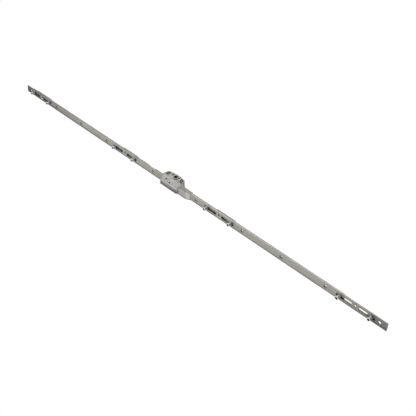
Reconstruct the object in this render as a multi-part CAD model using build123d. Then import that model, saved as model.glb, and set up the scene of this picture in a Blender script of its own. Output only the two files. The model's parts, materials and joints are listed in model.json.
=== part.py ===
from build123d import *
import math
import os

# Window espagnolette gearbox: one handle turn drives two rods in opposite directions behind a faceplate.
# Frame: X runs along the faceplate, -Y is the way its front looks, +Z runs across its width.
# The origin is on the spindle axis, in the plane of the long edge that the part rests on. Millimetres.

# Faceplate rails
RAIL_LENGTH = 1100.0
RAIL_WIDTH = 16.0
RAIL_THICK = 2.0
RAIL_EDGE = 0.3
BACKSET = 22.0
RAIL_CENTRE = 3.0
LEFT_RAIL_INNER = -22.0

# Cam stations and screw holes, as distances along the faceplate from its ends or its middle
END_TO_STATION = 65.0
LEFT_NEAR_STATION = 149.2
RIGHT_NEAR_STATION = 151.2
CAM_OFFSET = 33.8
SLOT_INNER = 7.0
SLOT_OUTER = 41.5
SLOT_HEIGHT = 6.5
END_TO_SCREWS = [130.0, 234.0]
MIDDLE_TO_SCREW = 215.5
LEFT_NEAR_SCREW = 51.0
RIGHT_NEAR_SCREW = 85.0
END_SCREW_MARGIN = 15.0
SCREW_HOLE_R = 2.2
SCREW_SINK_R = 3.9
SCREW_SINK_DEPTH = 1.5
END_HOLE_R = 3.0

# Rods behind the faceplate
ROD_INSET = 1.0
ROD_THICK = 1.3
ROD_GAP = 0.1
ROD_END = 8.5
NECK_RISE = 0.6
BUSH_CLEAR = 0.3
SHANK_CLEAR = 0.3
SCREW_SLOT_HEIGHT = 5.2
SLOT_SPARE = 0.6
END_SLOT_SPARE = 7.0
NECK_CLEAR = 1.0
ROD_CLEAR = 0.2

# Drive: a toothed follower on the spindle and a rack on the rear rod
DRIVE_MODULE = 1.0
DRIVE_TEETH = 22
DRIVE_ANGLE = 20.0
DRIVE_TURN = 90.0
FOLLOWER_TEETH_CUT = 7
FOLLOWER_HUB_R = 6.3
FOLLOWER_CLEAR = 0.3
SPINDLE_SQUARE = 7.0
SPINDLE_CLEAR = 0.1
HUB_RECESS = 0.2
DRIVE_RACK_BOTTOM = 2.0
DRIVE_RACK_HEAD = 0.6
DRIVE_RACK_TEETH = 8
RACK_CLEAR = 0.3
SWEEP_CLEAR = 0.4
RACK_RIVET_DEPTH = 3.0
FULL_DEDENDUM = 1.25
BACKLASH = 0.16

# Reverser: an idler between two small racks turns one rod's travel round for the other
IDLER_MODULE = 0.6
IDLER_TEETH = 10
IDLER_ANGLE = 25.0
IDLER_X = 8.6
SMALL_FACE_SHARE = 0.48
IDLER_AXLE_R = 1.2
IDLER_COLLAR_R = 1.8
IDLER_END_CLEAR = 0.1
IDLER_AXLE_SINK = 0.8
AXLE_PIT_R = 2.2
STUB_ADDENDUM = 0.8
STUB_DEDENDUM = 1.05
SMALL_RACK_BACK = 1.0
SMALL_RACK_TEETH = 11
SMALL_RIVET_R = 0.8
SMALL_RIVET_SKIN = 0.2
LEG_WIDTH = 3.0
LEG_RISE = 0.4
LEG_HEAD = 1.4
LEG_START = 11.6
LEG_CLEAR = 0.2

# Case
CASE_BELOW_RAIL = 4.5
CASE_WALL = 1.2
COVER_THICK = 1.9
CASE_LEFT = -27.0
CASE_RIGHT = 27.0
BOX_LEFT = -14.0
BOX_RIGHT = 37.0
BOX_LEFT_WALL = 3.0
BOX_REAR = 15.0
BOX_CLEAR = 0.3
BOX_CHAMFER = 1.8
CASE_SHOULDER = 24.0
CASE_SHOULDER_DROP = 3.8
CASE_CORNER_DROP = 3.2
HANDLE_SCREW_SPACING = 43.0
POST_R = 3.6
POST_HOLE_R = 2.6
MOAT_R = 4.9
MOAT_X = 20.9
MOAT_DEPTH = 21.2
PIN_R = 1.25
BOX_PIN_R = 0.9
REAR_RIVET_X = 14.5
REAR_RIVET_DEPTH = 14.8
SIGHT_HOLE_X = -6.9
SIGHT_HOLE_DEPTH = 1.5
SIGHT_HOLE_R = 2.1
SPRING_HOLE_X = 14.2
SPRING_HOLE_DEPTH = 24.6
SPRING_HOLE_R = 1.0
WINDOW_INNER_R = 8.6
WINDOW_OUTER_R = 11.4
WINDOW_FROM = -18.0
WINDOW_TO = 32.0
WINDOW_SIDES = 10
RUNNING_FIT = 0.08

# Lugs that carry the two rails on the case
LUG_LENGTH = 18.0
LUG_PLATE = 2.0
LUG_BOTTOM = 1.7
LUG_OVER_ROD = 0.4
LUG_BELOW_ROD = 2.1
RAIL_RIVET_R = 1.5
RAIL_RIVET_IN = 5.5
RAIL_RIVET_PITCH = 7.5

# Saddle over the inner end of the right rail
SADDLE_WALL = 1.5
SADDLE_PROUD = 5.7
SADDLE_PLATEAU = 21.0
SADDLE_RAMP = 14.0
SADDLE_FLANGE = 5.8
SADDLE_FIT = 0.1
SADDLE_BOSS_R = 2.2
SADDLE_RIVET_R = 1.2
SADDLE_RIVET_PITCH = 14.0
SADDLE_RIVET_IN = 2.5
SADDLE_KNEE_PULL = 6.0
SADDLE_FOOT_PULL = 0.6
SADDLE_FOOT_RISE = 3.0

# Guide blocks and the tubular bushes that hold them
BLOCK_THICK = 1.8
BLOCK_EDGE = 1.1
BLOCK_TAIL_THICK = 1.3
BLOCK_TAIL_FROM = -26.0
BLOCK_TAIL_BOTTOM = 1.5
BLOCK_TAIL_HEAD = 3.5
BUSH_OUTER_R = 3.6
BUSH_WALL = 1.0
BUSH_RIM = 0.3
BUSH_MOUTH_DEPTH = 1.2

# Mushroom cams, eccentric on a pivot in the rod
CAM_HEAD_R = 3.8
CAM_HEAD_HEIGHT = 2.9
CAM_NECK_R = 2.4
CAM_COLLAR_R = 3.1
CAM_COLLAR_HEIGHT = 1.8
CAM_PROUD = 8.6
CAM_LIFT = 0.3
CAM_ECCENTRIC = 0.5
CAM_SHANK_R = 2.5
CAM_PIVOT_R = 1.9
CAM_FLARE_R = 2.6
CAM_FLARE_DEPTH = 0.6
CAM_FIT = 0.05
CAM_KEY = 3.6
CAM_KEY_DEPTH = 2.6
CAM_ROUND = 0.6

# Detent spring beside the follower hub
SPRING_THICK = 0.6
SPRING_BOTTOM = 3.0
SPRING_HEAD = 1.6
SPRING_STANDOFF = 0.15
SPRING_TURNS = [20, 30, 40, 50, 60, 70]
SPRING_FOOT_X = 14.8
SPRING_FOOT_Y = 1.5
POCKET_CLEAR = 0.1

# Values worked out from the sizes above
BUSH_INNER_R = BUSH_OUTER_R - BUSH_WALL
BUSH_MOUTH_R = BUSH_OUTER_R - BUSH_RIM
ROD_SLOT_HEIGHT = 2 * (BUSH_OUTER_R + BUSH_CLEAR)
END_ROD_SLOT_HEIGHT = 2 * (CAM_SHANK_R + SHANK_CLEAR)
MID_Z = RAIL_WIDTH / 2
RAIL_LEFT_END = RAIL_CENTRE - RAIL_LENGTH / 2
RAIL_RIGHT_END = RAIL_CENTRE + RAIL_LENGTH / 2
LEFT_SCREWS = [RAIL_LEFT_END + place for place in END_TO_SCREWS]
LEFT_SCREWS += [RAIL_CENTRE - MIDDLE_TO_SCREW, RAIL_CENTRE - LEFT_NEAR_SCREW]
RIGHT_SCREWS = [RAIL_RIGHT_END - place for place in END_TO_SCREWS]
RIGHT_SCREWS += [RAIL_CENTRE + MIDDLE_TO_SCREW, RAIL_CENTRE + RIGHT_NEAR_SCREW]
FRONT_ROD_NEAR = RAIL_THICK + ROD_GAP
FRONT_ROD_FAR = FRONT_ROD_NEAR + ROD_THICK
REAR_ROD_NEAR = FRONT_ROD_FAR + ROD_GAP
REAR_ROD_FAR = REAR_ROD_NEAR + ROD_THICK
BLOCK_NEAR = REAR_ROD_FAR + ROD_GAP
ROD_BOTTOM = ROD_INSET
ROD_TOP = RAIL_WIDTH - ROD_INSET
NECK_BOTTOM = ROD_BOTTOM + NECK_RISE
DRIVE_R = DRIVE_MODULE * DRIVE_TEETH / 2
TRAVEL = DRIVE_R * math.radians(DRIVE_TURN)
CASE_HEIGHT = RAIL_WIDTH - CASE_BELOW_RAIL
COVER_BOTTOM = CASE_HEIGHT - COVER_THICK
FLOOR_TOP = CASE_WALL
IDLER_R = IDLER_MODULE * IDLER_TEETH / 2
IDLER_ADD = STUB_ADDENDUM * IDLER_MODULE
IDLER_DED = STUB_DEDENDUM * IDLER_MODULE
DRIVE_DED = FULL_DEDENDUM * DRIVE_MODULE
FRONT_RACK_LINE = FRONT_ROD_NEAR - SMALL_RACK_BACK - IDLER_DED
IDLER_DEPTH = FRONT_RACK_LINE - IDLER_R
ARM_LINE = IDLER_DEPTH - IDLER_R
ARM_BACK = ARM_LINE - IDLER_DED - SMALL_RACK_BACK
BOX_INNER = ARM_BACK - BOX_CLEAR
BOX_FRONT = BOX_INNER - CASE_WALL
LUG_BACK = BLOCK_NEAR + LUG_PLATE
SMALL_FACE_BOTTOM = FLOOR_TOP + BOX_CLEAR
SMALL_FACE = SMALL_FACE_SHARE * (COVER_BOTTOM - FLOOR_TOP)
SMALL_FACE_TOP = SMALL_FACE_BOTTOM + SMALL_FACE
NECK_TOP = COVER_BOTTOM - ROD_CLEAR
DRIVE_RACK_TOP = COVER_BOTTOM - DRIVE_RACK_HEAD
LEG_BOTTOM = SMALL_FACE_TOP + LEG_RISE
LEG_TOP = NECK_TOP - LEG_HEAD
SPRING_TOP = COVER_BOTTOM - SPRING_HEAD
LUG_RIB_BOTTOM = NECK_TOP + LUG_OVER_ROD
LEFT_PLATE_TOP = ROD_TOP - LUG_BELOW_ROD
RIGHT_LUG_TOP = RAIL_WIDTH - SADDLE_WALL - SADDLE_FIT
CASE_BACK = BACKSET + FOLLOWER_HUB_R + FOLLOWER_CLEAR + CASE_WALL
NECK_LEFT = CASE_LEFT - LUG_LENGTH - NECK_CLEAR
SADDLE_END = BOX_RIGHT + SADDLE_PLATEAU + SADDLE_RAMP
NECK_RIGHT = SADDLE_END + NECK_CLEAR
STATIONS = {
    "a": RAIL_LEFT_END + END_TO_STATION,
    "b": RAIL_CENTRE - LEFT_NEAR_STATION,
    "c": RAIL_CENTRE + RIGHT_NEAR_STATION,
    "d": RAIL_RIGHT_END - END_TO_STATION,
}
BLOCK_TAIL_TOP = RAIL_WIDTH - BLOCK_TAIL_HEAD
BLOCK_SPANS = {"a": (-26.0, 36.0), "b": (-10.0, 40.0), "c": (-10.0, 40.0)}


def at_depth(depth):
    # Depth is measured backwards from the front face of the faceplate
    return depth - BACKSET


def block(x0, x1, depth0, depth1, z0, z1):
    body = Box(x1 - x0, depth1 - depth0, z1 - z0, align=(Align.MIN, Align.MIN, Align.MIN))
    return Pos(x0, at_depth(depth0), z0) * body


def pin_y(x, z, radius, depth0, depth1):
    # A round bar along Y, from depth0 to depth1
    bar = Cylinder(radius, depth1 - depth0, align=(Align.CENTER, Align.CENTER, Align.MIN))
    return Pos(x, at_depth(depth0), z) * Rot(-90, 0, 0) * bar


def cone_y(x, z, radius0, radius1, depth0, depth1):
    # A cone along Y, with radius0 at depth0 and radius1 at depth1
    body = Cone(radius0, radius1, depth1 - depth0, align=(Align.CENTER, Align.CENTER, Align.MIN))
    return Pos(x, at_depth(depth0), z) * Rot(-90, 0, 0) * body


def pin_z(x, depth, radius, z0, z1):
    bar = Cylinder(radius, z1 - z0, align=(Align.CENTER, Align.CENTER, Align.MIN))
    return Pos(x, at_depth(depth), z0) * bar


def slot_y(x0, x1, z, height, depth0, depth1):
    # A round-ended slot along X, cut through along Y
    middle = block(x0 + height / 2, x1 - height / 2, depth0, depth1, z - height / 2, z + height / 2)
    left = pin_y(x0 + height / 2, z, height / 2, depth0, depth1)
    right = pin_y(x1 - height / 2, z, height / 2, depth0, depth1)
    return middle + left + right


def prism_z(points, z0, z1):
    # Points are (x, depth) pairs; the solid stands from z0 to z1
    outline = Polyline([(x, at_depth(depth)) for x, depth in points], close=True)
    return Pos(0, 0, z0) * extrude(make_face(outline), amount=z1 - z0)


def write(name, shape):
    export_step(shape, f"parts/{name}.step")


def involute_flank(base_r, from_r, to_r, steps=5):
    # Radius and roll angle of points on an involute, from the wider of base_r and from_r to to_r
    points = []
    start = max(base_r, from_r)
    for i in range(steps + 1):
        radius = start + (to_r - start) * i / steps
        roll = math.sqrt(max((radius / base_r) ** 2 - 1, 0.0))
        points.append((radius, roll - math.atan(roll)))
    return points


def gear_outline(teeth, module, angle, addendum, dedendum, slack):
    # Corner points of a spur gear about (0, 0) with a tooth on the -Y side
    pitch_r = module * teeth / 2
    base_r = pitch_r * math.cos(math.radians(angle))
    root_r = pitch_r - dedendum
    flank = involute_flank(base_r, root_r, pitch_r + addendum)
    pitch_roll = math.tan(math.radians(angle)) - math.radians(angle)
    half_tooth = math.pi / (2 * teeth) - slack / (4 * pitch_r)
    points = []
    for tooth in range(teeth):
        centre = -math.pi / 2 + 2 * math.pi * tooth / teeth
        sides = [(root_r, half_tooth + pitch_roll)] if root_r < base_r else []
        sides += [(radius, half_tooth + pitch_roll - roll) for radius, roll in flank]
        rising = [(radius, centre - turn) for radius, turn in sides]
        falling = [(radius, centre + turn) for radius, turn in reversed(sides)]
        points += [(r * math.cos(a), r * math.sin(a)) for r, a in rising + falling]
    return points


def rack_outline(teeth, module, angle, addendum, dedendum, slack, back):
    # Teeth point to +Y from the line y = 0; the first gap to the right of x = 0 is centred on it
    pitch = math.pi * module
    slope = math.tan(math.radians(angle))
    half = pitch / 4 - slack / 4
    points = [(-pitch / 2 - pitch * (teeth - 1) - pitch / 2, -dedendum - back)]
    points.append((points[0][0], -dedendum))
    for i in range(teeth):
        centre = -pitch / 2 - pitch * (teeth - 1 - i)
        points.append((centre - half - dedendum * slope, -dedendum))
        points.append((centre - half + addendum * slope, addendum))
        points.append((centre + half - addendum * slope, addendum))
        points.append((centre + half + dedendum * slope, -dedendum))
    points.append((0.0, -dedendum))
    points.append((0.0, -dedendum - back))
    return points


def rail_blank(x0, x1):
    blank = block(x0, x1, 0, RAIL_THICK, 0, RAIL_WIDTH)
    front = blank.edges().filter_by(Axis.X).group_by(Axis.Y)[0]
    return chamfer(front, RAIL_EDGE)


def countersunk_hole(x):
    hole = pin_y(x, MID_Z, SCREW_HOLE_R, 0, RAIL_THICK)
    return hole + cone_y(x, MID_Z, SCREW_SINK_R, SCREW_HOLE_R, 0, SCREW_SINK_DEPTH)


def rail_cuts(stations, screws, end_hole):
    cuts = pin_y(end_hole, MID_Z, END_HOLE_R, 0, RAIL_THICK)
    for name in stations:
        x = STATIONS[name]
        cuts += slot_y(x - SLOT_OUTER, x - SLOT_INNER, MID_Z, SLOT_HEIGHT, 0, RAIL_THICK)
        cuts += slot_y(x + SLOT_INNER, x + SLOT_OUTER, MID_Z, SLOT_HEIGHT, 0, RAIL_THICK)
        # A station without a guide block has a plain screw hole in place of the bush
        middle_r = BUSH_OUTER_R if name in BLOCK_SPANS else BUSH_INNER_R
        cuts += pin_y(x, MID_Z, middle_r, 0, RAIL_THICK)
    for x in screws:
        cuts += countersunk_hole(x)
    return cuts


def rail_rivets(x0, x1):
    # Two flush rivets through a rail and the rib of its lug
    z = (LUG_RIB_BOTTOM + RIGHT_LUG_TOP) / 2
    near = pin_y(x0, z, RAIL_RIVET_R, 0, BLOCK_NEAR)
    return near + pin_y(x1, z, RAIL_RIVET_R, 0, BLOCK_NEAR)


LEFT_RIVETS = (CASE_LEFT - RAIL_RIVET_IN - RAIL_RIVET_PITCH, CASE_LEFT - RAIL_RIVET_IN)
RIGHT_RIVETS = (BOX_RIGHT + RAIL_RIVET_IN, BOX_RIGHT + RAIL_RIVET_IN + RAIL_RIVET_PITCH)
SADDLE_KNEE = BOX_RIGHT + SADDLE_PLATEAU
SADDLE_RIVETS = (SADDLE_KNEE - SADDLE_RIVET_IN - SADDLE_RIVET_PITCH, SADDLE_KNEE - SADDLE_RIVET_IN)


def make_faceplates():
    rivets = rail_rivets(*LEFT_RIVETS)
    left = rail_blank(RAIL_LEFT_END, LEFT_RAIL_INNER)
    left -= rail_cuts(["a", "b"], LEFT_SCREWS, RAIL_LEFT_END + END_SCREW_MARGIN)
    write("faceplate_left", left - rivets)
    right_rivets = rail_rivets(*RIGHT_RIVETS)
    tongue_edge = SADDLE_WALL + SADDLE_FIT
    right = rail_blank(SADDLE_END, RAIL_RIGHT_END)
    right += block(BOX_RIGHT, SADDLE_END, 0, RAIL_THICK, tongue_edge, RAIL_WIDTH - tongue_edge)
    right -= rail_cuts(["c", "d"], RIGHT_SCREWS, RAIL_RIGHT_END - END_SCREW_MARGIN)
    for x in SADDLE_RIVETS:
        right -= pin_y(x, MID_Z, SADDLE_RIVET_R, 0, RAIL_THICK)
    write("faceplate_right", right - right_rivets)
    write("rail_rivets", Compound(rivets.solids() + right_rivets.solids()))


def cam_seat(x, near):
    # The pivot hole and its flare in a rod, where a cam is riveted so that it can turn
    far = near + ROD_THICK
    hole = pin_y(x, MID_Z, CAM_PIVOT_R + CAM_FIT, near, far)
    flare = cone_y(x, MID_Z, CAM_PIVOT_R + CAM_FIT, CAM_FLARE_R + CAM_FIT, far - CAM_FLARE_DEPTH, far)
    return hole + flare


def rod_blank(x0, x1, near, neck_left, neck_right):
    # A flat strip, narrowed where it runs through the case and the saddle
    far = near + ROD_THICK
    strip = block(x0, x1, near, far, ROD_BOTTOM, ROD_TOP)
    strip -= block(neck_left, neck_right, near, far, NECK_TOP, ROD_TOP)
    return strip - block(neck_left, neck_right, near, far, ROD_BOTTOM, NECK_BOTTOM)


def make_rear_rod():
    # It moves to +X and carries the left cam of each station
    near = REAR_ROD_NEAR
    far = REAR_ROD_FAR
    x0 = STATIONS["a"] - CAM_OFFSET - ROD_END
    x1 = STATIONS["d"] - CAM_OFFSET + ROD_END
    rod = rod_blank(x0, x1, near, NECK_LEFT - TRAVEL, NECK_RIGHT)
    reach = BUSH_OUTER_R + SLOT_SPARE
    for name in ("a", "b", "c"):
        x = STATIONS[name]
        rod -= slot_y(x - TRAVEL - reach, x + reach, MID_Z, ROD_SLOT_HEIGHT, near, far)
    for x in LEFT_SCREWS + RIGHT_SCREWS:
        reach = SCREW_HOLE_R + SLOT_SPARE
        rod -= slot_y(x - TRAVEL - reach, x + reach, MID_Z, SCREW_SLOT_HEIGHT, near, far)
    for x in STATIONS.values():
        rod -= cam_seat(x - CAM_OFFSET, near)
    rod -= leg(near, far)
    write("rear_rod", rod - drive_rack_rivets())


def make_front_rod():
    # It moves to -X and carries the right cam of each station
    near = FRONT_ROD_NEAR
    far = FRONT_ROD_FAR
    x0 = STATIONS["a"] + CAM_OFFSET - ROD_END
    x1 = STATIONS["d"] + CAM_OFFSET + ROD_END
    rod = rod_blank(x0, x1, near, NECK_LEFT, NECK_RIGHT + TRAVEL)
    shank = CAM_SHANK_R + SLOT_SPARE
    reach = BUSH_OUTER_R + SLOT_SPARE
    for name in ("b", "c"):
        x = STATIONS[name]
        from_x = x - CAM_OFFSET - shank
        rod -= slot_y(from_x, x + TRAVEL + reach, MID_Z, ROD_SLOT_HEIGHT, near, far)
    # The last station has no bush, so its slot only has to clear the cam's shank
    x = STATIONS["d"]
    rod -= slot_y(x - CAM_OFFSET - shank, x + TRAVEL + END_SLOT_SPARE, MID_Z, END_ROD_SLOT_HEIGHT, near, far)
    for x in LEFT_SCREWS + RIGHT_SCREWS:
        reach = SCREW_HOLE_R + SLOT_SPARE
        rod -= slot_y(x - reach, x + TRAVEL + reach, MID_Z, SCREW_SLOT_HEIGHT, near, far)
    for x in STATIONS.values():
        rod -= cam_seat(x + CAM_OFFSET, near)
    leg_end = LEG_START + LEG_WIDTH + 2 * TRAVEL + SLOT_SPARE
    leg_slot = block(LEG_START - SLOT_SPARE, leg_end, near, far, LEG_BOTTOM - LEG_CLEAR, LEG_TOP + LEG_CLEAR)
    rod -= leg_slot
    write("front_rod", rod - front_rack_rivets())


def leg(depth0, depth1):
    return block(LEG_START, LEG_START + LEG_WIDTH, depth0, depth1, LEG_BOTTOM, LEG_TOP)


def drive_rack_rivets():
    z = (DRIVE_RACK_BOTTOM + DRIVE_RACK_TOP) / 2
    pitch = math.pi * DRIVE_MODULE
    far = REAR_ROD_FAR + RACK_RIVET_DEPTH
    left = pin_y(-pitch * (DRIVE_RACK_TEETH - 1), z, PIN_R, REAR_ROD_NEAR, far)
    return left + pin_y(-pitch, z, PIN_R, REAR_ROD_NEAR, far)


def front_rack_rivets():
    z = SMALL_FACE_BOTTOM + SMALL_FACE / 2
    pitch = math.pi * IDLER_MODULE
    depth = FRONT_ROD_NEAR - SMALL_RACK_BACK + SMALL_RIVET_SKIN
    first = pin_y(IDLER_X + pitch, z, SMALL_RIVET_R, depth, FRONT_ROD_FAR)
    return first + pin_y(IDLER_X + pitch * (SMALL_RACK_TEETH - 2), z, SMALL_RIVET_R, depth, FRONT_ROD_FAR)


def make_drive_rack():
    line = BACKSET - DRIVE_R
    back = line - DRIVE_DED - REAR_ROD_FAR
    teeth = rack_outline(
        DRIVE_RACK_TEETH, DRIVE_MODULE, DRIVE_ANGLE, DRIVE_MODULE, DRIVE_DED, BACKLASH, back
    )
    # One tooth stands to the right of the gap that the follower's first tooth fills
    shift = math.pi * DRIVE_MODULE
    points = [(x + shift, y + line) for x, y in teeth]
    rack = prism_z(points, DRIVE_RACK_BOTTOM, DRIVE_RACK_TOP)
    write("drive_rack", rack - drive_rack_rivets())
    write("drive_rack_rivets", Compound(drive_rack_rivets().solids()))


def make_front_rack():
    # Riveted on the front of the front rod, teeth towards the idler
    teeth = rack_outline(
        SMALL_RACK_TEETH, IDLER_MODULE, IDLER_ANGLE, IDLER_ADD, IDLER_DED, BACKLASH, SMALL_RACK_BACK
    )
    pitch = math.pi * IDLER_MODULE
    points = [(IDLER_X - x - pitch, FRONT_RACK_LINE - y) for x, y in teeth]
    rack = prism_z(points, SMALL_FACE_BOTTOM, SMALL_FACE_TOP)
    write("front_rack", rack - front_rack_rivets())
    write("front_rack_rivets", Compound(front_rack_rivets().solids()))


def make_reversing_arm():
    # A hooked bar on the rear rod: its leg passes through the front rod, its teeth face the idler
    teeth = rack_outline(
        SMALL_RACK_TEETH, IDLER_MODULE, IDLER_ANGLE, IDLER_ADD, IDLER_DED, BACKLASH, SMALL_RACK_BACK
    )
    pitch = math.pi * IDLER_MODULE
    points = [(IDLER_X + x + pitch, ARM_LINE + y) for x, y in teeth]
    bar_left = points[0][0]
    bar_right = LEG_START + LEG_WIDTH
    bar_front = ARM_LINE - IDLER_DED
    arm = prism_z(points, SMALL_FACE_BOTTOM, SMALL_FACE_TOP)
    arm += block(bar_left, bar_right, ARM_BACK, bar_front, SMALL_FACE_BOTTOM, LEG_TOP)
    arm += leg(ARM_BACK, REAR_ROD_FAR)
    write("reversing_arm", arm)


def make_follower():
    outline = gear_outline(
        DRIVE_TEETH, DRIVE_MODULE, DRIVE_ANGLE, DRIVE_MODULE, DRIVE_DED, BACKLASH
    )
    bottom = FLOOR_TOP + FOLLOWER_CLEAR
    top = COVER_BOTTOM - FOLLOWER_CLEAR
    gear = Pos(0, 0, bottom) * extrude(make_face(Polyline(outline, close=True)), amount=top - bottom)
    step = 360 / DRIVE_TEETH
    first = -90 + step / 2
    last = first - step * FOLLOWER_TEETH_CUT
    reach = 2 * DRIVE_R
    fan = [(0.0, BACKSET)]
    for i in range(FOLLOWER_TEETH_CUT + 1):
        turn = math.radians(first + (last - first) * i / FOLLOWER_TEETH_CUT)
        fan.append((reach * math.cos(turn), BACKSET + reach * math.sin(turn)))
    sector = gear & prism_z(fan, bottom, top)
    hub = pin_z(0, BACKSET, FOLLOWER_HUB_R, HUB_RECESS, CASE_HEIGHT - HUB_RECESS)
    side = SPINDLE_SQUARE + SPINDLE_CLEAR
    socket = Box(side, side, 3 * CASE_HEIGHT)
    write("drive_follower", sector + hub - socket)


def make_idler():
    outline = gear_outline(IDLER_TEETH, IDLER_MODULE, IDLER_ANGLE, IDLER_ADD, IDLER_DED, BACKLASH)
    face = make_face(Polyline(outline, close=True))
    place = Pos(IDLER_X, at_depth(IDLER_DEPTH), SMALL_FACE_BOTTOM)
    gear = place * extrude(face, amount=SMALL_FACE)
    write("idler_pinion", gear - pin_z(IDLER_X, IDLER_DEPTH, IDLER_AXLE_R + CAM_FIT, 0, CASE_HEIGHT))
    collar_bottom = SMALL_FACE_TOP + IDLER_END_CLEAR
    axle = pin_z(IDLER_X, IDLER_DEPTH, IDLER_AXLE_R, 0, CASE_HEIGHT - IDLER_AXLE_SINK)
    axle += pin_z(IDLER_X, IDLER_DEPTH, IDLER_COLLAR_R, collar_bottom, COVER_BOTTOM)
    write("idler_axle", axle)


def case_outline(z0, z1):
    # Front box, middle and a back that bows out round the follower hub
    box_part = block(BOX_LEFT, BOX_RIGHT, BOX_FRONT, BOX_REAR, z0, z1)
    shoulder = at_depth(CASE_BACK - CASE_SHOULDER_DROP)
    corner = shoulder - CASE_CORNER_DROP
    back = ThreePointArc((-CASE_SHOULDER, shoulder), (0, at_depth(CASE_BACK)), (CASE_SHOULDER, shoulder))
    turns = [(CASE_SHOULDER, shoulder), (CASE_RIGHT, corner), (CASE_RIGHT, at_depth(0))]
    turns += [(LEFT_RAIL_INNER, at_depth(0)), (LEFT_RAIL_INNER, at_depth(RAIL_THICK))]
    turns += [(CASE_LEFT, at_depth(RAIL_THICK)), (CASE_LEFT, corner), (-CASE_SHOULDER, shoulder)]
    outline = make_face(back.edges() + Polyline(turns).edges())
    rear = Pos(0, 0, z0) * extrude(outline, amount=z1 - z0)
    return box_part + rear


def post_places():
    reach = HANDLE_SCREW_SPACING / 2
    return [(-reach, -MOAT_X), (reach, MOAT_X)]


def moats(z0, z1):
    # Open rings round the two posts that the handle screws pass
    left, right = [pin_z(moat_x, MOAT_DEPTH, MOAT_R, z0, z1) for post_x, moat_x in post_places()]
    return left + right


def posts(radius):
    left, right = [pin_z(post_x, BACKSET, radius, 0, CASE_HEIGHT) for post_x, moat_x in post_places()]
    return left + right


def case_rivet_pins():
    left = pin_z(-REAR_RIVET_X, REAR_RIVET_DEPTH, PIN_R, 0, CASE_HEIGHT)
    right = pin_z(REAR_RIVET_X, REAR_RIVET_DEPTH, PIN_R, 0, CASE_HEIGHT)
    corner = BOX_LEFT + BOX_LEFT_WALL / 2
    front = pin_z(corner, BOX_INNER + CASE_WALL, BOX_PIN_R, 0, CASE_HEIGHT)
    return left + right + front


def lug(x0, x1, plate_top, rib_top):
    # A plate behind the rods with a rib above them that the rail is riveted to
    plate = block(x0, x1, BLOCK_NEAR, LUG_BACK, LUG_BOTTOM, plate_top)
    return plate + block(x0, x1, RAIL_THICK, BLOCK_NEAR, LUG_RIB_BOTTOM, rib_top)


def spring_outline(grow):
    # A bent leaf: its foot is held in a pocket of the case, its bow rests by the follower hub
    inner = FOLLOWER_HUB_R + SPRING_STANDOFF - grow
    outer = FOLLOWER_HUB_R + SPRING_STANDOFF + SPRING_THICK + grow
    turns = [math.radians(turn) for turn in SPRING_TURNS]
    bow = [(inner * math.cos(turn), inner * math.sin(turn)) for turn in turns[::-1]]
    back = [(outer * math.cos(turn), outer * math.sin(turn)) for turn in turns]
    foot = [(SPRING_FOOT_X, SPRING_FOOT_Y - grow)]
    foot.append((SPRING_FOOT_X, SPRING_FOOT_Y + SPRING_THICK + grow))
    return [(x, y + BACKSET) for x, y in bow + foot + back]


def make_case():
    case = case_outline(0, COVER_BOTTOM)
    case += lug(CASE_LEFT - LUG_LENGTH, CASE_LEFT, LEFT_PLATE_TOP, ROD_TOP)
    case += lug(BOX_RIGHT, BOX_RIGHT + LUG_LENGTH, RIGHT_LUG_TOP, RIGHT_LUG_TOP)
    case -= rail_rivets(*LEFT_RIVETS)
    case -= rail_rivets(*RIGHT_RIVETS)
    inner_left = BOX_LEFT + BOX_LEFT_WALL
    case -= block(inner_left, BOX_RIGHT - CASE_WALL, BOX_INNER, RAIL_THICK, FLOOR_TOP, COVER_BOTTOM)
    channel_near = FRONT_ROD_NEAR - ROD_CLEAR
    channel_bottom = NECK_BOTTOM - ROD_CLEAR
    case -= block(CASE_LEFT, BOX_RIGHT, channel_near, BLOCK_NEAR, channel_bottom, COVER_BOTTOM)
    rack_room = BACKSET - DRIVE_R + DRIVE_MODULE + RACK_CLEAR
    inner_case_left = CASE_LEFT + CASE_WALL
    inner_case_right = CASE_RIGHT - CASE_WALL
    case -= block(inner_case_left, inner_case_right, BLOCK_NEAR, rack_room, channel_bottom, COVER_BOTTOM)
    sweep = pin_z(0, BACKSET, DRIVE_R + DRIVE_MODULE + SWEEP_CLEAR, FLOOR_TOP, COVER_BOTTOM)
    shell = case_outline(FLOOR_TOP, COVER_BOTTOM)
    back_wall = shell - Pos(0, -CASE_WALL, 0) * shell
    case -= sweep - back_wall
    case -= pin_z(0, BACKSET, FOLLOWER_HUB_R + RUNNING_FIT, 0, COVER_BOTTOM)
    case -= prism_z(spring_outline(POCKET_CLEAR), SPRING_BOTTOM - POCKET_CLEAR, COVER_BOTTOM)
    case -= pin_z(IDLER_X, IDLER_DEPTH, IDLER_AXLE_R, 0, FLOOR_TOP)
    case -= moats(FLOOR_TOP, COVER_BOTTOM)
    case += posts(POST_R)
    case -= posts(POST_HOLE_R)
    write("gearbox_case", case - case_rivet_pins())


def arc_window():
    # A curved opening in the cover, round the spindle
    sides = WINDOW_SIDES
    turns = [WINDOW_FROM + (WINDOW_TO - WINDOW_FROM) * i / sides for i in range(sides + 1)]
    points = []
    for radius, order in ((WINDOW_INNER_R, 1), (WINDOW_OUTER_R, -1)):
        for turn in turns[::order]:
            angle = math.radians(turn)
            points.append((radius * math.cos(angle), BACKSET + radius * math.sin(angle)))
    return prism_z(points, COVER_BOTTOM, CASE_HEIGHT)


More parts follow.
